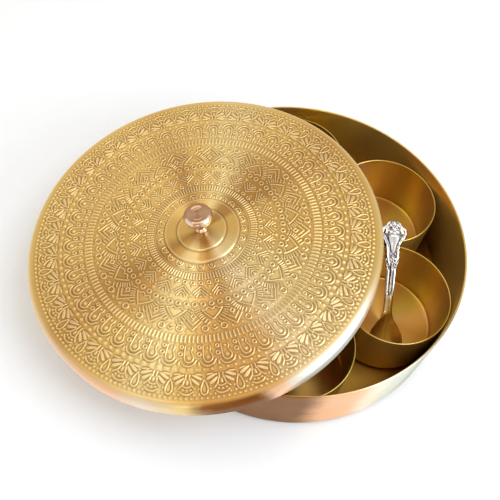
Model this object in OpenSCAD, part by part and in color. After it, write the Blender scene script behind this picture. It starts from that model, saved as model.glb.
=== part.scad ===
// Round brass spice box (masala dabba).
// A straight-sided pan holds seven loose cups, six round one. The lid has a short skirt, a low
// dome and a turned knob. It rests half off the pan: the inside of its plate lies on the rim at -X,
// and its skirt lies on the rim at two places nearer the middle. A small spoon leans in one cup.
// Millimetres, +Z up. The origin is the middle of the pan's flat base.

/* [Pan] */
// Outer radius of the pan
pan_r = 110; // [104:1:120]
// Height of the pan
pan_h = 55.5; // [50:0.5:64]
// Sheet thickness of the pan
pan_t = 1.3; // [1:0.1:1.6]
// Outside radius of the corner between base and wall
pan_corner = 4; // [3:0.5:7]

/* [Cups] */
// Free space between the middle cup and the six round it
cup_gap = 2.6; // [1.5:0.1:6]
// Height of each cup
cup_h = 43.8; // [38:0.2:46]
// Sheet thickness of the cups
cup_t = 0.9; // [0.7:0.1:1.2]
// Outside radius of the corner between a cup's base and wall
cup_corner = 2.4; // [2:0.2:5]
// Direction of the first outer cup, degrees from +X
cup_angle = 22.4; // [22:0.1:23]

/* [Lid] */
// How much larger the skirt's outer radius is than the pan's
lid_over = 2.6; // [2:0.1:3.4]
// Height of the lid from the skirt's lower edge to the edge of the plate
lid_h = 11.1; // [10:0.1:14]
// Sheet thickness of the lid
lid_t = 1; // [0.8:0.1:1.2]
// Outside radius of the shoulder between plate and skirt
lid_shoulder = 4.5; // [3:0.1:6]
// Rise of the plate from its edge to its middle
lid_dome = 1.4; // [0.6:0.1:2.4]
// Radius of the lower step round the knob
boss_r = 23.4; // [20:0.1:26]
// Radius of the upper step round the knob
boss_top_r = 15; // [12:0.1:17]
// Rise of the lower step
boss_rise = 0.9; // [0.4:0.1:1.4]
// Rise of the upper step
boss_top_rise = 0.6; // [0.3:0.1:1]
// How far the lid has been slid off the pan, along -X
lid_shift = 60.3; // [55:0.1:66]

/* [Knob] */
// Radius of the knob's cap
knob_r = 9; // [7:0.1:10]
// Height of the knob
knob_h = 17.5; // [16:0.1:24]
// Radius of the knob's base bead
knob_base_r = 4.4; // [4:0.1:5.5]

/* [Spoon] */
// Length of the spoon
spoon_l = 94; // [88:0.5:98]
// Half of the bowl's greatest width
bowl_w = 11.6; // [10:0.1:12]
// Depth of the bowl
bowl_d = 4.2; // [3:0.1:5]

/* [Hidden] */
$fn = 96;

gap = 0.3;             // free space between pieces that are only laid on each other
brass = "goldenrod";
bright = "gold";

// Cups stand on the pan's floor. Three of them, with their gaps, take up the pan's inner radius.
cup_play = 0.5;
cup_r = (pan_r - pan_t - cup_play - cup_gap) / 3;
cup_z = pan_t + gap;
ring_r = 2 * cup_r + cup_gap;

// Height of the plate's top face at radius r, above the skirt's lower edge, without the boss.
lid_r = pan_r + lid_over;
plate_edge_r = lid_r - lid_shoulder;
function plate_z(r) = lid_h + lid_dome * (1 - pow(min(r / plate_edge_r, 1), 2));

// The lid leans on three places: the pan's rim under the plate at -X, and the two places where
// skirt and rim cross. rest_x is how far along -X the crossings lie.
rest_x = (pan_r * pan_r - lid_r * lid_r + lid_shift * lid_shift) / (2 * lid_shift);
rest_rise = plate_z(pan_r - lid_shift) - lid_t;
lid_tilt = asin(rest_rise / (pan_r - rest_x));
lid_z = pan_h + gap - (lid_shift - rest_x) * tan(lid_tilt);

// Knob and its fastening, in the lid's own frame. The boss is flat on top.
knob_z = plate_z(boss_top_r) + boss_rise + boss_top_rise;
screw_r = 2;
screw_hole_r = 2.3;
screw_head_r = 3.8;
screw_head_h = 1.8;
washer_r = 5.5;
washer_t = 0.8;
screw_depth = 9;       // how far the screw reaches into the knob

// The spoon's bowl stands in the sixth cup and its handle lies across the cup's rim. Its tip is
// measured from the middle of that cup's base.
spoon_tip = [-4.9, -30.1, 2.3];
spoon_turn = 80.8;
spoon_lean = 32.8;
spoon_rings = 46;
spoon_sides = 16;
bowl_l = 34;

// Puts children, made in the lid's own frame, where the lid rests.
module lid_place() {
    translate([-lid_shift, 0, lid_z]) rotate([0, -lid_tilt, 0]) children();
}

// Half-section of an open vessel of sheet metal: a rounded box with its inside taken away.
module vessel_section(r, h, t, corner) {
    difference() {
        rounded_corner_box(r, h - t / 2, corner);
        translate([0, t]) rounded_corner_box(r - t, h, corner - t);
    }
    translate([r - t / 2, h - t / 2]) circle(d = t);
}

// Rectangle r by h whose lower outer corner is rounded.
module rounded_corner_box(r, h, corner) {
    square([r - corner, h]);
    translate([0, corner]) square([r, h - corner]);
    translate([r - corner, corner]) circle(corner);
}

module vessel(r, h, t, corner) {
    rotate_extrude($fn = 180) vessel_section(r, h, t, corner);
}

module pan() {
    color(brass) vessel(pan_r, pan_h, pan_t, pan_corner);
}

module cup_at(x, y) {
    color(bright) translate([x, y, cup_z]) vessel(cup_r, cup_h, cup_t, cup_corner);
}

function ring_place(i) = let (a = cup_angle + 60 * (i - 1)) [ring_r * cos(a), ring_r * sin(a), 0];

module ring_cup(i) {
    cup_at(ring_place(i).x, ring_place(i).y);
}

// Outline of the lid's outer skin, from the middle out and down the skirt. With inset = lid_t it is
// the inner skin, which follows the same steps one sheet thickness below.
function lid_skin(inset) = let (s = lid_shoulder - inset, slope = 0.7)
    concat(
        [for (r = [0, boss_top_r - inset / 2]) [r, knob_z - inset]],
        [[boss_top_r + slope - inset / 2, plate_z(boss_top_r) + boss_rise - inset]],
        [[boss_r - inset / 2, plate_z(boss_r) + boss_rise - inset]],
        [[boss_r + slope - inset / 2, plate_z(boss_r + slope) - inset]],
        [for (r = [36 : 12 : 96]) [r, plate_z(r) - inset]],
        [for (a = [90 : -15 : 0]) [plate_edge_r + s * cos(a), lid_h - lid_shoulder + s * sin(a)]]
    );

module lid_plate() {
    outer = lid_skin(0);
    inner = lid_skin(lid_t);
    color(brass) lid_place() difference() {
        rotate_extrude($fn = 180) polygon(concat(
            outer, [[lid_r, 0], [lid_r - lid_t, 0]],
            [for (i = [len(inner) - 1 : -1 : 0]) inner[i]]
        ));
        translate([0, 0, lid_h - 5]) cylinder(r = screw_hole_r, h = 12, $fn = 48);
    }
}

// Turned knob: base bead, waisted stem and a thick cap with rounded edges.
module lid_knob() {
    cap_t = 6;
    cap_round = 2.6;
    bead = 3.6;
    stem_r = 2.9;
    color("rosybrown") lid_place() translate([0, 0, knob_z]) difference() {
        rotate_extrude() {
            intersection() {
                translate([knob_base_r - bead, bead * 0.85]) circle(bead);
                square([knob_base_r, 2 * bead]);
            }
            square([stem_r, knob_h - cap_t / 2]);
            polygon([[0, knob_h - cap_t - 3], [stem_r, knob_h - cap_t - 3],
                     [knob_r - cap_round, knob_h - cap_t], [0, knob_h - cap_t]]);
            translate([0, knob_h - cap_t]) square([knob_r - cap_round, cap_t]);
            translate([0, knob_h - cap_t + cap_round]) square([knob_r, cap_t - 2 * cap_round]);
            for (z = [cap_round, cap_t - cap_round])
                translate([knob_r - cap_round, knob_h - cap_t + z]) circle(cap_round);
        }
        translate([0, 0, -1]) cylinder(r = screw_r, h = screw_depth + 1.5);
    }
}

module knob_washer() {
    color("silver") lid_place() translate([0, 0, knob_z - lid_t - washer_t]) difference() {
        cylinder(r = washer_r, h = washer_t);
        translate([0, 0, -1]) cylinder(r = screw_hole_r, h = washer_t + 2);
    }
}

// Pan-head screw driven up into the knob from inside the lid.
module knob_screw() {
    head_z = knob_z - lid_t - washer_t - screw_head_h;
    color("gray") lid_place() translate([0, 0, head_z]) difference() {
        union() {
            cylinder(r = screw_head_r, h = screw_head_h);
            cylinder(r = screw_r - 0.02, h = screw_head_h + washer_t + lid_t + screw_depth);
        }
        translate([-screw_head_r, -0.5, -1]) cube([2 * screw_head_r, 1, 1.9]);
    }
}

// Half-width of the spoon at distance s from the tip of its bowl: an egg-shaped bowl, a thin neck,
// a tapering shank, a scroll and a shell-shaped end.
function spoon_w(s) = lookup(s, [
    [0, 1.6], [1, 4.4], [3, 7.4], [6, 9.8], [10, bowl_w - 0.2], [14, bowl_w], [19, bowl_w - 1],
    [24, 8], [28, 5.2], [31, 3.7], [bowl_l, 2.9], [40, 2.7], [46, 2.8], [60, 3.2], [65, 3.9],
    [70, 4.5], [75, 4.7], [79, 5.4], [82, 7.4], [85, 8.8], [88, 8.9], [90.5, 7.2], [92.5, 4.8],
    [spoon_l, 2.4]
]);
// How far the middle of the section sags below its edges: the hollow of the bowl.
function spoon_dip(s) = s >= bowl_l - 2 ? 0 : bowl_d * sin(180 * pow(s / (bowl_l - 2), 0.8));
// Thickness of the metal.
function spoon_t(s) = lookup(s, [[0, 1], [26, 1.1], [bowl_l, 2.2], [44, 2.6], [66, 2.4], [spoon_l, 2]]);
// Height of the middle line: the handle arches a little above the bowl's edge.
function spoon_rise(s) = s < bowl_l - 8 ? 0 : 1.6 * sin(180 * (s - bowl_l + 8) / (spoon_l - bowl_l + 8));

function spoon_point(i, j) = let (
        s = spoon_l * i / (spoon_rings - 1),
        a = 360 * j / spoon_sides,
        z = spoon_t(s) / 2 * sin(a) - spoon_dip(s) * pow(sin(a), 2)
    ) [s, spoon_w(s) * cos(a), spoon_rise(s) + z];

module spoon() {
    last = spoon_rings - 1;
    n = spoon_sides;
    place = ring_place(6) + [0, 0, cup_z] + spoon_tip;
    color("gainsboro") translate(place) rotate([0, 0, spoon_turn]) rotate([0, -spoon_lean, 0])
        polyhedron(
            points = [for (i = [0 : last]) for (j = [0 : n - 1]) spoon_point(i, j)],
            faces = concat(
                [[for (j = [0 : n - 1]) j]],
                [[for (j = [n - 1 : -1 : 0]) last * n + j]],
                [for (i = [0 : last - 1]) for (j = [0 : n - 1]) let (k = (j + 1) % n)
                    each [[i * n + j, (i + 1) * n + j, (i + 1) * n + k],
                          [i * n + j, (i + 1) * n + k, i * n + k]]]
            )
        );
}

pan();
cup_at(0, 0);  // cup_centre
ring_cup(1);  // cup_1
ring_cup(2);  // cup_2
ring_cup(3);  // cup_3
ring_cup(4);  // cup_4
ring_cup(5);  // cup_5
ring_cup(6);  // cup_6
lid_plate();
lid_knob();
knob_washer();
knob_screw();
spoon();
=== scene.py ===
import math

import bpy
import numpy as np
from mathutils import Matrix, Vector


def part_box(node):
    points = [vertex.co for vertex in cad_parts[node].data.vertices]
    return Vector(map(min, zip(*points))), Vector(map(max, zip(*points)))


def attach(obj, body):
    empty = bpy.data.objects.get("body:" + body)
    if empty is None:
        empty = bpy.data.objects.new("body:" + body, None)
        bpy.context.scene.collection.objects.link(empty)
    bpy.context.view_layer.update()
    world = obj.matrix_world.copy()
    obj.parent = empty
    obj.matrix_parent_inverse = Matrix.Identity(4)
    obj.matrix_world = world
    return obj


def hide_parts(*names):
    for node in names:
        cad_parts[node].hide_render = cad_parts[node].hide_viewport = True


# A brass spice box: a pan with seven cups, an embossed lid that lies half off it, and a small
# silver spoon. Each piece but the knob's screw and washer is remade here as a fine skin over its
# CAD part.
# Lengths in the modelling code are millimetres. MM turns them into the frame's metres.

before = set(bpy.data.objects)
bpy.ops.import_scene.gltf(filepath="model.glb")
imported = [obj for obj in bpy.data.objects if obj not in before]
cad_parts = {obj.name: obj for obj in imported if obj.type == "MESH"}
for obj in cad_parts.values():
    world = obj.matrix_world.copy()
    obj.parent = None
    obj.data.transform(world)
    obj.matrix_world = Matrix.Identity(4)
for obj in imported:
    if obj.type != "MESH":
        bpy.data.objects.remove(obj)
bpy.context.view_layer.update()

MM = 0.001

# The pan and the cups, measured on the frame.
PAN_LOW, PAN_HIGH = (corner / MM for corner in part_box("pan"))
PAN_R = (PAN_HIGH.x - PAN_LOW.x) / 2
PAN_H = PAN_HIGH.z
PAN_T = 1.3
PAN_CORNER = 4.0
PAN_POINTS = 360
CUP_T = 0.9
CUP_CORNER = 2.4
CUP_POINTS = 200
CUPS = ["cup_centre"] + [f"cup_{k}" for k in range(1, 7)]

# The lid, in its own frame: origin in the middle of the skirt's lower edge, +Z through the knob.
LID_SHIFT = 60.3
LID_LEAN = 7.606
LID_Z = 51.133
LID_R = PAN_R + 2.6
LID_H = 11.1
LID_T = 1.0
LID_SHOULDER = 4.5
LID_DOME = 1.4
BOSS_R = 23.4
BOSS_TOP_R = 15.0
BOSS_RISE = 0.9
BOSS_TOP_RISE = 0.6
BOSS_SLOPE = 0.7
SCREW_HOLE_R = 2.3
PLATE_EDGE_R = LID_R - LID_SHOULDER
KNOB_POINTS = 144

LID_PLACE = Matrix.Translation(Vector((-LID_SHIFT, 0, LID_Z)) * MM) @ Matrix.Rotation(
    math.radians(-LID_LEAN), 4, "Y")

# The spoon, in its own frame: origin at the tip of the bowl, +X along the handle.
SPOON_L = 94.0
SPOON_SIDES = 160
SPOON_STEPS = 460
SPOON_TIP = (-4.9, -30.1, 3.9)
SPOON_TURN = 80.8
SPOON_LEAN = 32.8
BOWL_L = 34.0
BOWL_D = 4.2
HOLLOW_L = BOWL_L - 2
ARCH_START = BOWL_L - 8
ARCH_RISE = 1.6
# Up to here from the bowl's tip the spoon stands in its cup and gets a painted brass-brown reflection
# and shade of the cup.
CUP_REFLECTION_END = 46


# ---------------------------------------------------------------- camera, floor and lights

CAMERA_AT = (-68.6, -201.8, 377.8)
CAMERA_ELEVATION = 59.06
CAMERA_TURN = -10.77
CAMERA_ROLL = 5.45
CAMERA_LENS = 42.71
SENSOR_WIDTH = 36
LIGHT_DISTANCE = 1.3
LIGHT_TARGET = Vector((0, 0, 0.04))
FLOOR_SIZE = 6


def make_camera():
    camera = bpy.data.objects.new("camera", bpy.data.cameras.new("camera"))
    bpy.context.scene.collection.objects.link(camera)
    camera.data.lens = CAMERA_LENS
    camera.data.sensor_width = SENSOR_WIDTH
    camera.data.clip_start = 0.01
    camera.matrix_world = (
        Matrix.Translation(Vector(CAMERA_AT) * MM)
        @ Matrix.Rotation(math.radians(CAMERA_TURN), 4, "Z")
        @ Matrix.Rotation(math.radians(90 - CAMERA_ELEVATION), 4, "X")
        @ Matrix.Rotation(math.radians(CAMERA_ROLL), 4, "Z")
    )
    bpy.context.scene.camera = camera


def soft_box(name, direction, size, power, colour):
    """A rectangular studio light that looks at the middle of the box from that direction."""
    data = bpy.data.lights.new(name, "AREA")
    data.shape = "RECTANGLE"
    data.size, data.size_y = size
    data.energy = power
    data.color = colour
    light = bpy.data.objects.new(name, data)
    bpy.context.scene.collection.objects.link(light)
    away = Vector(direction).normalized()
    light.location = away * LIGHT_DISTANCE + LIGHT_TARGET
    light.rotation_euler = away.to_track_quat("Z", "Y").to_euler()


def make_lights():
    """Window lights on the right and in front, a lamp overhead, and a warm, dim room round them."""
    soft_box("key", (0.42, -0.20, 0.88), (0.6, 0.6), 4.8, (0.86, 1.0, 1.16))
    soft_box("low", (0.72, -0.51, 0.47), (0.8, 0.5), 6.0, (0.92, 1.0, 1.06))
    soft_box("front", (-0.28, -0.82, 0.50), (0.45, 0.3), 1.1, (1.0, 0.99, 0.97))
    soft_box("over", (-0.23, 0.16, 0.96), (0.6, 0.6), 1.6, (0.95, 1.0, 1.0))
    world = bpy.data.worlds.new("studio")
    world.use_nodes = True
    world.node_tree.nodes["Background"].inputs["Color"].default_value = (1.0, 0.92, 0.81, 1)
    world.node_tree.nodes["Background"].inputs["Strength"].default_value = 0.82
    bpy.context.scene.world = world
    bpy.context.scene.view_settings.view_transform = "Standard"


# ---------------------------------------------------------------- material building

# Metal colours: the painted reflection wedges and shade of the spun brass, painted highlights and a
# painted glow, then cups, stains, the pan floor's painted shade, patina and wear with painted shade
# and highlight, knob, spoon with a painted cup reflection, and screw.
COPPER = (0.66, 0.39, 0.125)
WARM = (0.74, 0.48, 0.155)
BRASS = (0.80, 0.55, 0.185)
PALE = (0.88, 0.67, 0.30)
RED_BRASS = (0.55, 0.29, 0.085)
PALE_COPPER = (0.66, 0.50, 0.27)
DULL_GOLD = (0.69, 0.50, 0.21)
SOFT_GOLD = (0.60, 0.44, 0.19)
DARK_COPPER = (0.49, 0.27, 0.078)
DEEP_COPPER = (0.23, 0.085, 0.02)
PEACH = (0.99, 0.65, 0.41)
PINK = (0.97, 0.56, 0.33)
BLUSH = (0.92, 0.68, 0.48)
CREAM = (0.92, 0.79, 0.62)
SILVERY_REFLECTION = (0.60, 0.63, 0.54)
DIM_SILVER_REFLECTION = (0.35, 0.335, 0.26)
WHITE_HIGHLIGHT = (0.81, 0.83, 0.75)
GOLD = (0.86, 0.61, 0.18)
PAINTED_GLOW = (1.0, 0.74, 0.12)
OLIVE = (0.62, 0.44, 0.12)
CUP_GOLD = (0.70, 0.46, 0.10)
CUP_WARM = (0.63, 0.42, 0.085)
CUP_PALE = (0.80, 0.57, 0.18)
CUP_OLIVE = (0.63, 0.49, 0.10)
CUP_BROWN = (0.60, 0.32, 0.08)
CUP_TAN = (0.72, 0.43, 0.15)
CUP_ROSE = (0.82, 0.49, 0.22)
STAIN = (0.62, 0.37, 0.12)
PAN_FLOOR_SHADE = (0.24, 0.13, 0.022)
# Patina with painted shade for the feet of raised work, wear with a painted highlight for its tops.
PATINA_AND_SHADE = (0.24, 0.12, 0.03)
WEAR_AND_HIGHLIGHT = (0.98, 0.82, 0.50)
ROSE_METAL = (0.58, 0.36, 0.23)
DARK_ROSE = (0.44, 0.25, 0.15)
ROSE_HIGHLIGHT = (0.98, 0.86, 0.76)
SILVER = (0.88, 0.88, 0.89)
DULL_SILVER = (0.70, 0.70, 0.73)
CUP_REFLECTION_BROWN = (0.50, 0.33, 0.10)
TARNISH = (0.07, 0.04, 0.035)
STEEL = (0.62, 0.61, 0.60)
DARK_STEEL = (0.42, 0.41, 0.40)


# Spun metal: how often its noise changes across and along the rings, per metre, how large its
# stains are, and the ring depth in mm from which the rings streak the tones in full.
RINGS_ACROSS = 2600.0
RINGS_ALONG = 14.0
STAIN_SCALE = 28.0
STREAK_DEPTH = 0.015


class Shader:
    """A node material that is built up from its surface shader."""

    def __init__(self, name):
        self.material = bpy.data.materials.new(name)
        self.material.use_nodes = True
        self.tree = self.material.node_tree
        self.surface = self.tree.nodes["Principled BSDF"]

    def node(self, kind, inputs=None, **settings):
        """A new node with these settings. An input's value may be another node's output."""
        made = self.tree.nodes.new("ShaderNode" + kind)
        for key, value in settings.items():
            setattr(made, key, value)
        for key, value in (inputs or {}).items():
            self.put(made.inputs[key], value)
        return made

    def put(self, socket, value):
        if isinstance(value, bpy.types.NodeSocket):
            self.tree.links.new(value, socket)
        else:
            socket.default_value = value

    def set(self, **inputs):
        for key, value in inputs.items():
            self.put(self.surface.inputs[key.replace("_", " ").title()], value)

    def math(self, operation, first, second=0.0):
        made = self.node("Math", {0: first, 1: second}, operation=operation)
        return made.outputs[0]

    def mix(self, share, first, second):
        """A colour between two others, which may be outputs or (r, g, b)."""
        made = self.node("Mix", data_type="RGBA")
        factor, _, _, _, _, _, a, b = made.inputs[:8]
        self.put(factor, share)
        for socket, value in ((a, first), (b, second)):
            self.put(socket, value if isinstance(value, bpy.types.NodeSocket) else (*value, 1))
        return made.outputs[2]

    def spread(self, value, low, high, to_low=0.0, to_high=1.0):
        """The value's range low to high turned into another range."""
        made = self.node("MapRange", {"Value": value, "From Min": low, "From Max": high,
                                      "To Min": to_low, "To Max": to_high})
        return made.outputs[0]

    def noise(self, vector, scale, detail=3.0, roughness=0.55):
        made = self.node("TexNoise", {"Vector": vector, "Scale": scale, "Detail": detail,
                                      "Roughness": roughness})
        return made.outputs[0]

    def ramp(self, value, stops):
        """The colour at that value, eased between stops of (value, colour) in rising order."""
        made = self.node("ValToRGB", {"Fac": value})
        made.color_ramp.interpolation = "EASE"
        elements = made.color_ramp.elements
        for _ in stops[2:]:
            elements.new(1.0)
        for element, (position, colour) in zip(elements, stops):
            element.position = position
            element.color = (*colour, 1)
        return made.outputs["Color"]

    def ramp_round(self, turn, tones):
        """The tone for that share of a turn, from (degrees, colour) in rising order."""
        return self.ramp(turn, [(degrees / 360, tone) for degrees, tone in tones])

    def place(self):
        return self.node("TexCoord").outputs["Object"]

    def value_of(self, attribute):
        return self.node("Attribute", attribute_name=attribute).outputs["Fac"]


def turned_metal(name, tones, roughness, anisotropy, ring_depth, marks=None, zones=()):
    """Metal that was spun or turned: fine rings round the piece's own Z axis, painted wedges of paler
    and more coppery tone that follow the tones, which are (degrees from +X, colour), and soft stains.
    The wedges are painted reflections, highlights and shade of the spun metal's sunburst.
    marks names a mesh value that is 0 in the foot of raised work, 0.5 on the plain and 1 on top.
    Low marks take patina with painted shade, high marks wear with a painted highlight.
    Each zone is (tones, "height" or "radius", full, none) for other tones where that measure, in
    mm, is under full. They run out towards none."""
    shader = Shader(name)
    place = shader.place()
    parts = shader.node("SeparateXYZ", {0: place}).outputs
    flat = shader.node("VectorMath", {0: place, 1: (1, 1, 0)}, operation="MULTIPLY").outputs[0]
    radius = shader.node("VectorMath", {0: flat}, operation="LENGTH").outputs["Value"]
    along = shader.math("ADD", radius, parts["Z"])
    rings = shader.node("CombineXYZ", {"X": shader.math("MULTIPLY", along, RINGS_ACROSS),
                                       "Y": shader.math("MULTIPLY", parts["X"], RINGS_ALONG),
                                       "Z": shader.math("MULTIPLY", parts["Y"], RINGS_ALONG)})
    fine = shader.noise(rings.outputs[0], 1.0, 4.0, 0.7)
    streak = min(1.0, ring_depth / STREAK_DEPTH)
    stains = shader.noise(place, STAIN_SCALE, 5.0, 0.6)
    turn = shader.math("DIVIDE", shader.math("ARCTAN2", parts["Y"], parts["X"]), 2 * math.pi)
    wobble = shader.math("ADD", shader.spread(fine, 0.3, 0.7, -0.008 * streak, 0.008 * streak),
                         shader.spread(stains, 0.3, 0.7, -0.012 * streak, 0.012 * streak))
    turn = shader.math("FRACT", shader.math("ADD", turn, wobble))
    # The tones paint reflection wedges, highlights and shade round the piece's axis into its colour.
    colour = shader.ramp_round(turn, tones)
    colour = shader.mix(shader.spread(stains, 0.35, 0.75, 0.0, 0.3), colour, STAIN)
    # Each zone paints further reflections, highlights and shade over one part of the piece.
    for zone_tones, measure, full, none in zones:
        where = {"height": parts["Z"], "radius": radius}[measure]
        share = shader.spread(where, full * MM, none * MM, 1.0, 0.0)
        colour = shader.mix(share, colour, shader.ramp_round(turn, zone_tones))
    if marks:
        # Patina with painted shade in the feet of raised work, wear with a painted highlight on its
        # top.
        mark = shader.value_of(marks)
        colour = shader.mix(shader.spread(mark, 0.5, 0.1, 0.0, 0.7), colour, PATINA_AND_SHADE)
        colour = shader.mix(shader.spread(mark, 0.55, 0.95, 0.0, 0.52), colour, WEAR_AND_HIGHLIGHT)
    rough = shader.math("ADD", shader.spread(fine, 0.3, 0.7, -0.04 * streak, 0.04 * streak),
                        shader.spread(stains, 0.3, 0.7, roughness - 0.03, roughness + 0.04))
    bump = shader.node("Bump", {"Height": fine, "Strength": 0.5, "Distance": ring_depth * MM})
    tangent = shader.node("Tangent", direction_type="RADIAL", axis="Z")
    shader.set(base_color=colour, metallic=1.0, roughness=rough)
    shader.put(shader.surface.inputs["Normal"], bump.outputs[0])
    shader.surface.inputs["Anisotropic"].default_value = anisotropy
    shader.surface.inputs["Anisotropic Rotation"].default_value = 0.25
    shader.put(shader.surface.inputs["Tangent"], tangent.outputs[0])
    return shader.material


def plain_metal(name, light, dark, roughness, scale, marks=None, warm_end=None):
    """Polished metal with cloudy wear and hair scratches. Where marks is low, it has gone dark.
    Where the piece's own X is less than warm_end, in mm, a painted brass-brown reflection and shade
    of the cup that the piece stands in are mixed in."""
    shader = Shader(name)
    place = shader.place()
    clouds = shader.noise(place, scale, 5.0, 0.6)
    hairs = shader.node("VectorMath", {0: place, 1: (900, 60, 400)}, operation="MULTIPLY").outputs[0]
    scratches = shader.noise(hairs, 1.0, 2.0)
    colour = shader.mix(shader.spread(clouds, 0.3, 0.7), dark, light)
    if warm_end:
        # Painted reflection and shade of the brass cup, over the spoon's part inside it.
        along = shader.node("SeparateXYZ", {0: place}).outputs["X"]
        cup_reflection_share = shader.spread(along, (warm_end - 4) * MM, warm_end * MM, 0.9, 0.0)
        colour = shader.mix(cup_reflection_share, colour, CUP_REFLECTION_BROWN)
    if marks:
        deep = shader.spread(shader.value_of(marks), 0.05, 0.5, 0.8, 0.0)
        colour = shader.mix(deep, colour, TARNISH)
    rough = shader.spread(clouds, 0.3, 0.7, roughness - 0.03, roughness + 0.07)
    bump = shader.node("Bump", {"Height": scratches, "Strength": 0.35, "Distance": 0.02 * MM})
    shader.set(base_color=colour, metallic=1.0, roughness=rough)
    shader.put(shader.surface.inputs["Normal"], bump.outputs[0])
    return shader.material


def floor_material():
    shader = Shader("floor_paper")
    grain = shader.noise(shader.place(), 60.0, 4.0)
    tone = shader.mix(grain, (0.87, 0.90, 0.95), (0.90, 0.93, 0.98))
    shader.set(base_color=tone, roughness=0.7)
    return shader.material


# ---------------------------------------------------------------- mesh building


def ring(count, radius, height, start=0.0):
    """Points round the Z axis. Radius and height are numbers, or one number for each point."""
    angle = start + np.arange(count) * 2 * math.pi / count
    return np.stack([radius * np.cos(angle), radius * np.sin(angle),
                     np.broadcast_to(height, count)], axis=1)


def between(a, b, first, second):
    """Faces, as (quads, triangles), between rings of a and b points numbered from first and second.
    The rings have as many points as each other, or one has twice as many or is a single point."""
    if a == 1:
        i = np.arange(b)
        return [], np.stack([np.full(b, first), second + (i + 1) % b, second + i], 1).tolist()
    if b == 1:
        i = np.arange(a)
        return [], np.stack([first + i, first + (i + 1) % a, np.full(a, second)], 1).tolist()
    if a == b:
        i = np.arange(a)
        j = (i + 1) % a
        return np.stack([first + i, first + j, second + j, second + i], 1).tolist(), []
    i = np.arange(min(a, b))
    j = (i + 1) % min(a, b)
    if a == 2 * b:
        p, q, r = first + 2 * i, first + 2 * i + 1, first + (2 * i + 2) % a
        s, t = second + i, second + j
        faces = [[p, q, s], [q, t, s], [q, r, t]]
    else:
        p, q, r = second + 2 * i, second + 2 * i + 1, second + (2 * i + 2) % b
        s, t = first + i, first + j
        faces = [[q, p, s], [t, q, s], [r, q, t]]
    return [], [face for three in faces for face in np.stack(three, 1).tolist()]


def skin(name, rings, place=None, closed=False, marks=None):
    """A smooth piece over rings of points in millimetres, each joined to the next."""
    counts = [len(points) for points in rings]
    starts = np.concatenate([[0], np.cumsum(counts)]).tolist()
    pairs = list(zip(range(len(rings) - 1), range(1, len(rings))))
    if closed:
        pairs.append((len(rings) - 1, 0))
    faces = []
    for a, b in pairs:
        quads, triangles = between(counts[a], counts[b], starts[a], starts[b])
        faces += quads
        faces += triangles
    mesh = bpy.data.meshes.new(name)
    mesh.from_pydata((np.concatenate(rings) * MM).tolist(), [], faces)
    mesh.shade_smooth()
    if marks is not None:
        layer = mesh.attributes.new("marks", "FLOAT", "POINT")
        layer.data.foreach_set("value", np.concatenate(marks).astype(np.float32))
    piece = bpy.data.objects.new(name, mesh)
    bpy.context.scene.collection.objects.link(piece)
    if place is not None:
        piece.matrix_world = place
    return piece


def arc(centre, radius, start, end, steps):
    """Points of an arc, angles in degrees."""
    angles = np.radians(np.linspace(start, end, steps + 1))
    return [(centre[0] + radius * math.cos(a), centre[1] + radius * math.sin(a)) for a in angles]


def curve(points, steps=6):
    """Points along a smooth line through the given ones."""
    p = np.array([points[0], *points, points[-1]], float)
    line = []
    for a, b, c, d in zip(p, p[1:], p[2:], p[3:]):
        for t in np.arange(steps) / steps:
            line.append((2 * b + (c - a) * t + (2 * a - 5 * b + 4 * c - d) * t * t
                         + (3 * b - a - 3 * c + d) * t ** 3) / 2)
    return line + [p[-1]]


def finished(piece, material, body, node):
    """The piece gets its material, moves with the body and stands for the CAD node."""
    piece.data.materials.append(material)
    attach(piece, body)
    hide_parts(node)
    return piece


# ---------------------------------------------------------------- pan and cups


def vessel_outline(radius, height, thick, corner):
    """Half-section of an open vessel, from the middle of its underside round to its floor."""
    rim = thick / 2
    outside = arc((radius - corner, corner), corner, -90, 0, 8)
    over = arc((radius - rim, height - rim), rim, 0, 180, 8)
    inside = arc((radius - corner, corner), corner - thick, 0, -90, 8)
    wall = [(radius, z) for z in np.linspace(corner, height - rim, 14)[1:-1]]
    inner_wall = [(radius - thick, z) for z in np.linspace(height - rim, corner, 14)[1:-1]]
    low = [(r, 0.0) for r in np.linspace(0, radius - corner, 12)[:-1]]
    floor = [(r, thick) for r in np.linspace(radius - corner, 0, 12)[1:]]
    return low + outside + wall + over + inner_wall + inside + floor


def vessel(name, radius, height, thick, corner, points, centre):
    """An open, straight-sided vessel. Centre is the middle of its underside."""
    outline = vessel_outline(radius, height, thick, corner)
    rings = [ring(1 if r == 0 else points, r, z) for r, z in outline]
    return skin(name, rings, Matrix.Translation(Vector(centre) * MM))


# ---------------------------------------------------------------- the lid's ornament

# The ornament is laid out in rings. Each motif is a height from 0 to 1 over (u, v): v is the
# distance from the lid's middle along the motif's own spoke, and u the distance across it.
RELIEF = 0.36
LINE = 0.8
ORNAMENT_TURN = 2.5


def bead(distance, width=LINE):
    """Height of a raised line or dot of that width, with a round top that runs out softly."""
    return np.exp(-((distance / (0.5 * width)) ** 2))


def near_line(u, v, points):
    """Distance to the line through the points."""
    best = np.full(u.shape, np.inf)
    for (ax, ay), (bx, by) in zip(points, points[1:]):
        dx, dy = bx - ax, by - ay
        share = np.clip(((u - ax) * dx + (v - ay) * dy) / (dx * dx + dy * dy), 0, 1)
        best = np.minimum(best, np.hypot(u - ax - share * dx, v - ay - share * dy))
    return best


def stroke(u, v, *points, width=LINE):
    return bead(near_line(u, v, points), width)


def smooth_stroke(u, v, *points, width=LINE):
    return bead(near_line(u, v, curve(points, 5)), width)


def dot(u, v, x, y, width=1.15):
    return bead(np.hypot(u - x, v - y), width)


def circle(u, v, x, y, radius, width=LINE):
    return bead(np.hypot(u - x, v - y) - radius, width)


def highest(*heights):
    return np.maximum.reduce(heights)


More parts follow.
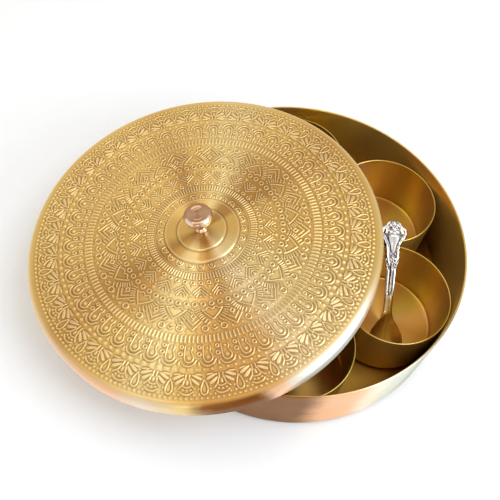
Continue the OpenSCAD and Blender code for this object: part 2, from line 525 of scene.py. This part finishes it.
def boss_loop(u, v):
    arch = smooth_stroke(abs(u), v, (2.0, 24.0), (2.0, 25.9), (1.35, 27.5), (0, 28.1))
    return highest(arch, circle(u, v, 0, 25.8, 0.65, 0.65))


def boss_gap(u, v):
    return dot(u, v, 0, 24.6, 1.0)


def fine_ring(u, v):
    return 0.7 * bead(np.hypot(u, v) - 30.0, 0.6)


def inner_tick(u, v):
    return stroke(u, v, (0, 31.1), (0, 34.5), width=0.9)


def inner_circle(u, v):
    return circle(u, v, 0, 37.05, 1.1)


def chevron(u, v):
    """Two nested angles that point to the middle, over a small arch with a dot in it."""
    side = abs(u)
    outer = stroke(side, v, (0, 39.3), (2.6, 41.6), (4.5, 43.2))
    inner = stroke(side, v, (0, 41.3), (3.7, 44.8))
    arch = smooth_stroke(side, v, (0, 43.4), (1.3, 44.2), (2.5, 46.2), width=0.75)
    return highest(outer, inner, arch, dot(u, v, 0, 45.8, 1.2))


def chevron_gap(u, v):
    return highest(dot(u, v, 0, 39.5, 1.2), dot(u, v, 0, 44.8, 1.2), dot(u, v, 0, 47.0, 1.6))


def middle_circle(u, v):
    return circle(u, v, 0, 50.9, 1.3)


def heart(u, v):
    side = abs(u)
    flank = smooth_stroke(side, v, (0, 61.0), (3.3, 57.8), (6.1, 54.3))
    top = smooth_stroke(side, v, (6.1, 54.3), (4.2, 54.5), (2.1, 53.3), (0, 54.6))
    tip = highest(stroke(side, v, (0, 67.5), (1.5, 66.3)), dot(u, v, 0, 64.9, 1.3))
    return highest(flank, top, tip)


def feather_band(u, v):
    """Short bars side by side, in bands that run along both flanks of the heart to its point."""
    band = np.array(curve([(9.1, 52.3), (8.1, 56.4), (5.8, 59.9), (2.0, 64.3)], 3))
    bars = []
    for before, middle, after in zip(band, band[1:], band[2:]):
        along = (after - before) / np.hypot(*(after - before))
        across = np.array((along[1], -along[0])) * 1.2
        bars.append(stroke(abs(u), v, middle - across, middle + across, width=0.75))
    return highest(*bars)


def nested_angle(u, v):
    side = abs(u)
    outer = stroke(side, v, (0, 67.1), (4.9, 61.7))
    inner = stroke(side, v, (0, 63.8), (3.2, 60.5))
    diamond = bead((side + abs(v - 58.6) - 1.5) / math.sqrt(2))
    return highest(outer, inner, diamond, dot(side, v, 3.0, 67.4, 1.3))


def outer_circle(u, v):
    return circle(abs(u), v, 5.5, 66.0, 1.7, 0.85)


def outer_tick(u, v):
    return stroke(u, v, (0, 70.6), (0, 74.2), width=1.05)


def bean_loop(u, v):
    arch = smooth_stroke(u, v, (-4.8, 85.1), (-3.2, 87.5), (-0.5, 88.5), (2.4, 87.5), (4.0, 84.9))
    bean = smooth_stroke(u, v, (-2.9, 76.5), (-3.05, 80.2), (-2.9, 83.4), (-2.0, 85.4), (-0.4, 86.2),
                         (1.5, 85.4), (2.3, 83.5), (1.6, 81.5), (0.8, 79.8), (1.3, 78.0), (0.8, 76.5))
    return highest(arch, bean, dot(u, v, -0.5, 83.3, 1.9), dot(u, v, -0.8, 77.9, 1.5))


def bean_gap(u, v):
    circles = highest(circle(u, v, 0, 77.3, 0.95, 0.75), circle(u, v, 0, 81.4, 1.1, 0.75))
    drop = stroke(u, v, (0, 85.9), (0, 87.6), width=0.5 + 0.35 * (v - 85).clip(0, 3))
    return highest(circles, drop)


def rim_dot(u, v):
    return dot(u, v, 0, 90.3, 1.7)


def leaf(u, v, start, end, width):
    """A raised leaf between two points, pointed at the start and round at the end."""
    (ax, ay), (bx, by) = start, end
    length = math.hypot(bx - ax, by - ay)
    along = ((u - ax) * (bx - ax) + (v - ay) * (by - ay)) / length
    across = abs((u - ax) * (by - ay) - (v - ay) * (bx - ax)) / length
    share = np.clip(along / length, 0, 1)
    half = 0.5 * width * np.sqrt(share) * np.sqrt(np.clip(1 - share ** 5, 0.05, 1))
    beyond = np.maximum(np.maximum(-along, along - length), 0)
    edge = np.hypot(np.maximum(across - half, 0), beyond)
    return bead(edge, 0.6) * (1 - 0.45 * bead(across, 0.5) * share)


def palmette(u, v):
    """A lotus: three leaves to each side, a bud between two stalks, and three rows under it."""
    side = abs(u)
    leaves = highest(leaf(side, v, (4.2, 92.8), (8.0, 93.0), 0.8),
                     leaf(side, v, (2.4, 93.3), (8.1, 95.6), 1.7),
                     leaf(side, v, (2.0, 95.1), (6.5, 98.5), 1.7))
    stalks = highest(stroke(side, v, (1.05, 93.1), (1.05, 96.0)),
                     smooth_stroke(side, v, (1.6, 96.0), (2.4, 98.8), (4.6, 100.9)))
    bud = stroke(u, v, (0, 96.9), (0, 98.2), width=1.3)
    smile = smooth_stroke(side, v, (0, 104.3), (2.0, 103.9), (3.6, 102.7), width=0.9)
    frill = smooth_stroke(side, v, (0, 100.4), (1.0, 100.2), (1.9, 99.7))
    dots = [dot(side, v, x, y, 1.15) for x, y in ((0, 101.9), (2.2, 101.5), (6.6, 101.0), (4.3, 104.1))]
    return highest(leaves, stalks, bud, smile, frill, *dots)


def almond(u, v):
    side = abs(u)
    outline = smooth_stroke(side, v, (0, 104.5), (1.5, 103.5), (1.95, 101.3), (1.2, 98.5), (0, 96.0))
    return highest(outline, dot(side, v, 3.1, 103.9, 1.15))


def border_dot(u, v):
    return dot(u, v, 0, 106.3, 1.3)


# Each row: motif, how many, where the first one lies in degrees from a heart, first and last radius.
ORNAMENT = [
    (boss_loop, 24, 7, 23.8, 30), (boss_gap, 24, 14.5, 23.8, 26), (fine_ring, 8, 0, 28, 32),
    (inner_tick, 120, 0, 29.8, 35.8), (inner_circle, 48, 0, 35, 39.5), (chevron, 24, 7.5, 38.2, 48),
    (chevron_gap, 24, 0, 38, 49), (middle_circle, 64, 0, 48.5, 53.5), (heart, 16, 0, 52, 69),
    (feather_band, 16, 0, 51, 66), (nested_angle, 16, 11.25, 56, 69), (outer_circle, 16, 0, 63, 69),
    (outer_tick, 192, 0.9375, 69, 75.5), (bean_loop, 48, 3.75, 75, 90), (bean_gap, 48, 0, 75, 90),
    (rim_dot, 128, 0, 88, 92.5), (palmette, 32, 0, 91.5, 106), (almond, 32, 5.625, 94, 106),
    (border_dot, 224, 0, 104.5, 107.8),
]
SECTORS = 8  # the ornament repeats this many times round the lid


def softened(height, reach):
    """The height's mean over reach points to each side, along and across the rings."""
    padded = np.pad(height, ((reach, reach), (0, 0)), mode="edge")
    across = sum(padded[k:k + len(height)] for k in range(2 * reach + 1))
    both = sum(np.roll(across, k, axis=1) for k in range(-reach, reach + 1))
    return both / (2 * reach + 1) ** 2


def wear_patina_and_painted_light(height, reach):
    """The marks for turned_metal: 1 on top of the ornament, 0 in its feet, 0.5 on plain metal.
    They paint shade beside the raised lines and a highlight on their tops, over patina and wear.
    """
    shade = np.maximum(softened(height, reach) - height, 0)
    return np.clip(0.5 + 0.5 * height - 1.7 * shade, 0, 1)


def relief(radius, count):
    """Height of the ornament, 0 to 1, for count points round the lid at each of the radii."""
    angle = np.arange(count // SECTORS) * 2 * math.pi / count
    height = np.zeros((len(radius), len(angle)))
    for motif, number, first, low, high in ORNAMENT:
        rows = np.flatnonzero((radius > low) & (radius < high))
        if not len(rows):
            continue
        spoke = 2 * math.pi / number
        turn = (angle - math.radians(first) + spoke / 2) % spoke - spoke / 2
        u = radius[rows, None] * np.sin(turn)
        v = radius[rows, None] * np.cos(turn)
        height[rows] = np.maximum(height[rows], motif(u, v))
    return np.tile(height, (1, SECTORS))


# ---------------------------------------------------------------- lid plate and knob


# Points round the lid's rings: plain stretches, the boss, and the ornament in its outer and inner
# part, where rings also lie closer together.
PLAIN_POINTS = 288
BOSS_POINTS = 576
OUTER_POINTS = 2304
INNER_POINTS = 1152
ORNAMENT_R = 107.8
ORNAMENT_SPLIT_R = 62
ORNAMENT_INNER_R = 25.0
OUTER_STEP = 0.3
INNER_STEP = 0.22
SHADE_REACH = 3


def plate_z(r):
    """Height of the plate's top face, without boss and ornament."""
    return LID_H + LID_DOME * (1 - np.minimum(r / PLATE_EDGE_R, 1) ** 2)


KNOB_Z = float(plate_z(BOSS_TOP_R)) + BOSS_RISE + BOSS_TOP_RISE


def boss_outline(inset):
    """The two steps round the knob, from the screw hole out, as (r, z)."""
    top, low, foot = BOSS_TOP_R - inset / 2, BOSS_R - inset / 2, plate_z(BOSS_R + BOSS_SLOPE)
    step = float(plate_z(BOSS_TOP_R)) + BOSS_RISE
    shelf = float(plate_z(BOSS_R)) + BOSS_RISE
    points = [(r, KNOB_Z) for r in (SCREW_HOLE_R, 4, 6, 8, 10, 12, top - 0.6)]
    points += curve([(top - 0.3, KNOB_Z), (top, KNOB_Z - 0.05), (top + 0.35, KNOB_Z - 0.3),
                     (top + BOSS_SLOPE, step - 0.02), (top + 1.2, step - 0.02)], 3)
    points += [(r, shelf + (step - shelf) * (low - r) / (low - top)) for r in np.linspace(17, 22, 6)]
    points += curve([(low - 0.3, shelf), (low, shelf - 0.06), (low + 0.35, (shelf + foot) / 2),
                     (low + BOSS_SLOPE, float(foot)), (low + 1.2, float(foot))], 3)
    return [(r, z - inset) for r, z in points]


def lid_rings():
    """The lid's skin from the screw hole out under the plate, round the skirt and back on top."""
    turn = math.radians(ORNAMENT_TURN)
    rings, marks = [], []

    def add(count, r, z, mark=0.5):
        rings.append(ring(count, r, z, turn))
        marks.append(np.broadcast_to(mark, count))

    inner = LID_SHOULDER - LID_T
    shoulder = (PLATE_EDGE_R, LID_H - LID_SHOULDER)
    rim = LID_T / 2
    for r, z in boss_outline(LID_T):
        add(PLAIN_POINTS, r, z)
    for r in np.linspace(27, 106, 24):
        add(PLAIN_POINTS, r, float(plate_z(r)) - LID_T)
    for r, z in arc(shoulder, inner, 90, 0, 8):
        add(PLAIN_POINTS, r, z)
    for z in np.linspace(LID_H - LID_SHOULDER, rim, 5)[1:]:
        add(PLAIN_POINTS, LID_R - LID_T, z)
    for r, z in arc((LID_R - rim, rim), rim, 180, 360, 8)[1:]:
        add(PLAIN_POINTS, r, z)
    for count, z in ((288, 1.4), (576, 2.6), (1152, 3.8), (OUTER_POINTS, 5.0), (OUTER_POINTS, 5.8)):
        add(count, LID_R, z)
    for r, z in arc(shoulder, LID_SHOULDER, 0, 90, 14):
        add(OUTER_POINTS, r, z)
    for count, start, end, step in ((OUTER_POINTS, ORNAMENT_R, ORNAMENT_SPLIT_R, OUTER_STEP),
                                    (INNER_POINTS, ORNAMENT_SPLIT_R, ORNAMENT_INNER_R, INNER_STEP)):
        radii = np.arange(start, end, -step)
        heights = relief(radii, count)
        for r, height, mark in zip(radii, heights, wear_patina_and_painted_light(heights, SHADE_REACH)):
            add(count, r, float(plate_z(r)) + RELIEF * height, mark)
    boss = boss_outline(0)
    add(BOSS_POINTS, *boss[-1])
    for r, z in reversed(boss[:-1]):
        # Marks paint a highlight, with wear, on each step's edge and shade, with patina, at its foot.
        edge = bead(r - BOSS_TOP_R, 1.0) + bead(r - BOSS_R, 1.0)
        foot = bead(r - BOSS_TOP_R - 1.0, 0.7) + bead(r - BOSS_R - 0.9, 0.7)
        add(PLAIN_POINTS, r, z, 0.5 + 0.45 * edge - 0.4 * foot)
    return rings, marks


def knob_outline():
    """Half-section of the knob, from the top of its screw bore down and round to its crown."""
    bore_r, bore_h = 2.0, 9.5
    outline = [(0.0, bore_h), (bore_r, bore_h), (bore_r, 0.0), (3.6, 0.0), (4.05, 0.15)]
    outline += curve([(4.3, 0.7), (4.4, 1.5), (4.1, 2.5), (3.3, 3.2), (2.95, 3.6)], 4)
    outline += curve([(3.2, 4.0), (3.5, 4.5), (3.45, 5.1), (3.0, 5.6)], 4)
    outline += curve([(2.7, 6.2), (2.6, 7.4), (2.9, 8.7), (3.8, 9.7), (5.2, 10.4)], 5)
    outline += curve([(6.6, 10.9), (8.0, 11.8), (8.8, 13.1), (9.0, 14.5), (8.7, 15.8),
                      (8.0, 16.8), (7.0, 17.3)], 6)
    outline += curve([(6.0, 17.45), (5.2, 17.35), (4.5, 17.2), (4.0, 17.3), (3.5, 17.15),
                      (2.0, 17.1)], 4)
    return outline + [(0.0, 17.1)]


# ---------------------------------------------------------------- spoon

SPOON_WIDTH = curve([(0, 0.4), (0.5, 3.2), (2, 6.2), (5, 9.2), (9, 11.1), (14, 11.6), (19, 10.5),
                     (24, 7.8), (28, 5.1), (31, 3.8), (34, 3.1), (40, 2.9), (46, 3.0), (60, 3.3),
                     (63, 3.5), (66, 4.5), (70, 4.8), (75, 4.7), (79, 5.4), (82, 7.5), (85, 9.0),
                     (87.6, 9.1), (89.4, 7.6), (90.6, 5.7), (92, 4.6), (93.5, 3.0), (94, 0.8)], 5)


def step_between(value, low, high):
    """0 under low, 1 over high and a smooth step between them."""
    share = np.clip((value - low) / (high - low), 0, 1)
    return share * share * (3 - 2 * share)


def spoon_width(s):
    """Half-width at the distance s from the bowl's tip, with small scallops along the handle."""
    where, width = np.array(SPOON_WIDTH).T
    scallop = 0.3 * step_between(s, 64, 67) * math.cos(2 * math.pi * (s - 64) / 3.1)
    return np.interp(s, where, width) + scallop * (1 - step_between(s, 89, 91))


def flower(u, v, x, y, size):
    """Five round petals and a middle."""
    turns = [math.radians(90 + 72 * k) for k in range(5)]
    petals = [dot(u, v, x + size * math.cos(a), y + size * math.sin(a), 0.95 * size) for a in turns]
    return highest(dot(u, v, x, y, 0.8 * size), *petals)


def spoon_ornament(s, y, w):
    """Height of the cast ornament on the spoon's upper face, millimetres."""
    side = abs(y)
    handle = step_between(s, 42, 48)
    shank = (1 - step_between(s, 60, 63)) * handle
    flutes = 0.25 * shank * np.cos(2 * math.pi * 1.5 * y / w)
    border = 0.4 * handle * step_between(side / w, 0.74, 0.9)
    strand = smooth_stroke(side, s, (2.3, 66), (3.3, 70), (3.6, 74), (4.3, 78), (6.1, 81.5), (7.9, 85),
                           (7.6, 87.8), (6.2, 88.9), (4.9, 87.9), (5.5, 86.2), width=1.9)
    beads = [dot(side, s, x, v, 1.5) for x, v in ((4.0, 68.3), (4.2, 71.4), (4.2, 74.6), (4.6, 77.8))]
    crown = highest(dot(side, s, 0, 92.4, 2.4), dot(side, s, 2.6, 91.3, 2.1),
                    dot(side, s, 4.4, 89.9, 1.7), dot(side, s, 1.3, 89.7, 1.6))
    scroll = highest(circle(side, s, 1.7, 67.6, 1.2, 0.9), circle(side, s, 2.5, 64.9, 1.0, 0.8),
                     dot(side, s, 0, 65.4, 1.5), dot(side, s, 0, 69.6, 1.7),
                     dot(side, s, 1.5, 72.0, 1.2), stroke(side, s, (0, 61.3), (0, 64.2), width=1.2))
    shield_edge = np.interp(s, [72.6, 74.5, 78, 81, 83.6, 84.6], [0.1, 1.3, 1.9, 3.0, 3.4, 0.1])
    shield = step_between(shield_edge - side, -0.25, 0.35) * (0.35 + 0.3 * side / np.maximum(w, 1))
    lines = highest(0.9 * strand, 0.7 * highest(*beads), 0.9 * crown, 0.75 * scroll, shield)
    return border + flutes + highest(lines, 0.8 * flower(y, s, 0, 86.0, 2.4))


def spoon_thickness(s):
    return float(np.interp(s, [0, 2, 26, 34, 44, 66, 90, 94], [0.5, 1.0, 1.1, 2.2, 2.5, 2.2, 1.9, 0.7]))


def hollow_depth(s):
    return BOWL_D * math.sin(math.pi * (s / HOLLOW_L) ** 0.8) if s < HOLLOW_L else 0.0


def handle_rise(s):
    """How far the handle arches over the line from end to end."""
    if s <= ARCH_START:
        return 0.0
    return ARCH_RISE * math.sin(math.pi * (s - ARCH_START) / (SPOON_L - ARCH_START))


def spoon_rings():
    """Sections across the spoon from tip to end. Marks are 1 where the metal is plain and bright."""
    angle = np.arange(SPOON_SIDES) * 2 * math.pi / SPOON_SIDES
    rings, marks = [], []
    for s in np.linspace(0, SPOON_L, SPOON_STEPS):
        w = float(spoon_width(s))
        y = w * np.cos(angle)
        lift = spoon_ornament(np.full_like(y, s), y, w) - 0.35 * float(step_between(s, 60, 66))
        top = np.sin(angle) > 0
        fade = np.sqrt(np.clip(np.sin(angle), 0, 1))
        bulge = np.sign(np.sin(angle)) * np.abs(np.sin(angle)) ** 0.8
        body = handle_rise(s) + spoon_thickness(s) / 2 * bulge - hollow_depth(s) * np.sin(angle) ** 2
        z = body + np.where(top, lift * fade, 0)
        rings.append(np.stack([np.full_like(y, s), y, z], axis=1))
        plain = 1 - float(step_between(s, 38, 46))
        marks.append(np.where(top, np.clip((lift + 0.2) / 0.6, 0, 1), 0.8) * (1 - plain) + plain)
    return rings, marks


# ---------------------------------------------------------------- the whole box

# Tones round each piece's axis, as (degrees from +X, colour). They paint light into the metal: the
# reflection wedges, highlights and shade that the lights and room make on spun and polished metal.
# The lid's sunburst: pale painted reflection wedges, with coppery painted shade between them.
LID_TONES = [(0, BRASS), (15, WARM), (30, COPPER), (52, BRASS), (72, PALE), (90, BRASS),
             (104, WARM), (120, BRASS), (137, WARM), (155, BRASS), (180, BRASS), (197, WARM),
             (211, COPPER), (228, BRASS), (246, PALE), (260, WARM), (271, RED_BRASS), (288, RED_BRASS),
             (300, PALE_COPPER), (315, SOFT_GOLD), (333, DULL_GOLD), (350, BRASS), (360, BRASS)]
LID_MIDDLE_TONES = [(0, WARM), (14, WARM), (29, DARK_COPPER), (43, DARK_COPPER), (72, PALE),
                    (86, WARM), (104, DARK_COPPER), (122, WARM), (140, WARM), (165, WARM),
                    (182, WARM), (208, DARK_COPPER), (224, COPPER), (242, PALE), (255, PALE),
                    (267, COPPER), (281, DARK_COPPER), (300, PALE_COPPER), (316, SOFT_GOLD),
                    (333, DULL_GOLD), (350, WARM), (360, WARM)]
# Painted light on the lid's shoulder and skirt: cream, peach and white highlights and deep copper
# shade.
SKIRT_TONES = [(0, PALE), (190, PALE), (214, BLUSH), (238, PEACH), (248, CREAM), (259, PALE),
               (270, DEEP_COPPER), (281, DEEP_COPPER), (290, PEACH), (299, WHITE_HIGHLIGHT),
               (313, WHITE_HIGHLIGHT), (326, CREAM), (342, PALE), (360, PALE)]
# Painted light on the pan's outer wall: pink and cream highlight bands, silvery painted reflections and
# deep copper shade.
PAN_TONES = [(0, BRASS), (35, WARM), (80, PALE), (120, WARM), (150, PALE), (190, BRASS), (228, COPPER),
             (246, DEEP_COPPER), (263, DEEP_COPPER), (273, PINK), (280, PINK), (287, CREAM),
             (294, SILVERY_REFLECTION), (306, DIM_SILVER_REFLECTION), (316, DIM_SILVER_REFLECTION), (335, PALE), (360, BRASS)]
# The pan's inner wall: painted reflections and a painted orange glow at 73 degrees.
PAN_INNER_TONES = [(0, GOLD), (62, GOLD), (73, PAINTED_GLOW), (88, OLIVE), (150, PALE), (250, BRASS),
                   (360, GOLD)]
# The pan's floor, under the lid and cups, painted dark as shade.
PAN_FLOOR_TONES = [(0, PAN_FLOOR_SHADE), (360, PAN_FLOOR_SHADE)]
# Painted reflection wedges on the cups' inner walls; painted shade on their floors, with paler painted
# highlight wedges.
CUP_TONES = [(0, CUP_PALE), (25, CUP_OLIVE), (60, CUP_WARM), (90, CUP_GOLD), (112, CUP_ROSE),
             (140, CUP_ROSE), (170, CUP_GOLD), (215, CUP_WARM), (255, CUP_PALE), (300, CUP_WARM),
             (335, CUP_OLIVE), (360, CUP_PALE)]
CUP_FLOOR_TONES = [(0, CUP_TAN), (25, CUP_WARM), (60, CUP_BROWN), (205, CUP_BROWN), (240, CUP_TAN),
                   (275, CUP_BROWN), (330, CUP_BROWN), (360, CUP_TAN)]
# Painted light on the knob: highlight crescents on its rounded edge and stem, darker painted reflection
# and shade on its top and sides.
KNOB_TONES = [(0, ROSE_METAL), (40, DARK_ROSE), (130, DARK_ROSE), (190, DARK_ROSE), (208, ROSE_HIGHLIGHT),
              (240, ROSE_HIGHLIGHT), (255, ROSE_METAL), (275, ROSE_METAL), (292, ROSE_HIGHLIGHT),
              (335, ROSE_HIGHLIGHT), (350, ROSE_METAL), (360, ROSE_METAL)]
KNOB_TOP_TONES = [(0, ROSE_METAL), (90, DARK_ROSE), (180, ROSE_METAL), (270, DARK_ROSE),
                  (360, ROSE_METAL)]
KNOB_STEM_TONES = [(0, ROSE_METAL), (200, DARK_ROSE), (228, ROSE_HIGHLIGHT), (250, ROSE_METAL),
                   (285, ROSE_HIGHLIGHT), (320, ROSE_METAL), (360, ROSE_METAL)]


# Where other tones take over: (tones, "height" or "radius", full, none), in mm. These paint
# further reflections, highlights, shade and a glow.
PAN_ZONES = [(PAN_INNER_TONES, "radius", 109.0, 109.3), (PAN_FLOOR_TONES, "height", 1.6, 4)]
CUP_ZONES = [(CUP_FLOOR_TONES, "height", 1.2, 2.8)]
LID_ZONES = [(LID_MIDDLE_TONES, "radius", 50, 85), (SKIRT_TONES, "height", 10.5, 11.15)]
KNOB_ZONES = [(KNOB_TOP_TONES, "radius", 6.4, 7.4), (KNOB_STEM_TONES, "height", 9.5, 10.5)]


def make_box():
    pan_brass = turned_metal("pan_brass", PAN_TONES, roughness=0.33, anisotropy=0.88,
                             ring_depth=0.008, zones=PAN_ZONES)
    pan = vessel("pan_shell", PAN_R, PAN_H, PAN_T, PAN_CORNER, PAN_POINTS, (0, 0, 0))
    finished(pan, pan_brass, "pan", "pan")
    cup_brass = turned_metal("cup_brass", CUP_TONES, roughness=0.32, anisotropy=0.8,
                             ring_depth=0.004, zones=CUP_ZONES)
    for name in CUPS:
        low, high = (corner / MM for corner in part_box(name))
        centre = ((low.x + high.x) / 2, (low.y + high.y) / 2, low.z)
        cup = vessel(name + "_shell", (high.x - low.x) / 2, high.z - low.z, CUP_T, CUP_CORNER,
                     CUP_POINTS, centre)
        finished(cup, cup_brass, name, name)


def make_lid():
    lid_brass = turned_metal("lid_brass", LID_TONES, roughness=0.37, anisotropy=0.82,
                             ring_depth=0.015, marks="marks", zones=LID_ZONES)
    rings, marks = lid_rings()
    lid = skin("lid_embossed", rings, LID_PLACE, closed=True, marks=marks)
    finished(lid, lid_brass, "lid", "lid_plate")
    rose = turned_metal("knob_metal", KNOB_TONES, roughness=0.10, anisotropy=0.2,
                        ring_depth=0.006, zones=KNOB_ZONES)
    rings = [ring(1 if r == 0 else KNOB_POINTS, r, z) for r, z in knob_outline()]
    knob = skin("knob_turned", rings, LID_PLACE @ Matrix.Translation((0, 0, KNOB_Z * MM)))
    finished(knob, rose, "lid", "lid_knob")
    steel = plain_metal("steel", STEEL, DARK_STEEL, roughness=0.3, scale=300.0)
    for name in ("knob_washer", "knob_screw"):
        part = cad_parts[name]
        part.data.materials.clear()
        part.data.materials.append(steel)


def make_spoon():
    silver = plain_metal("spoon_silver", SILVER, DULL_SILVER, roughness=0.14, scale=120.0,
                         marks="marks", warm_end=CUP_REFLECTION_END)
    low, high = (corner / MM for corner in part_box("cup_6"))
    tip = Vector(((low.x + high.x) / 2, (low.y + high.y) / 2, 0)) + Vector(SPOON_TIP)
    place = (Matrix.Translation(tip * MM) @ Matrix.Rotation(math.radians(SPOON_TURN), 4, "Z")
             @ Matrix.Rotation(math.radians(-SPOON_LEAN), 4, "Y"))
    rings, marks = spoon_rings()
    first, last = rings[0].mean(axis=0, keepdims=True), rings[-1].mean(axis=0, keepdims=True)
    end = np.ones(1)
    spoon = skin("spoon_cast", [first, *rings, last], place, marks=[end, *marks, end])
    finished(spoon, silver, "spoon", "spoon")


def make_floor():
    bpy.ops.mesh.primitive_plane_add(size=FLOOR_SIZE)
    floor = bpy.context.object
    floor.name = "floor"
    floor.data.materials.append(floor_material())


make_camera()
make_lights()
make_floor()
make_box()
make_lid()
make_spoon()
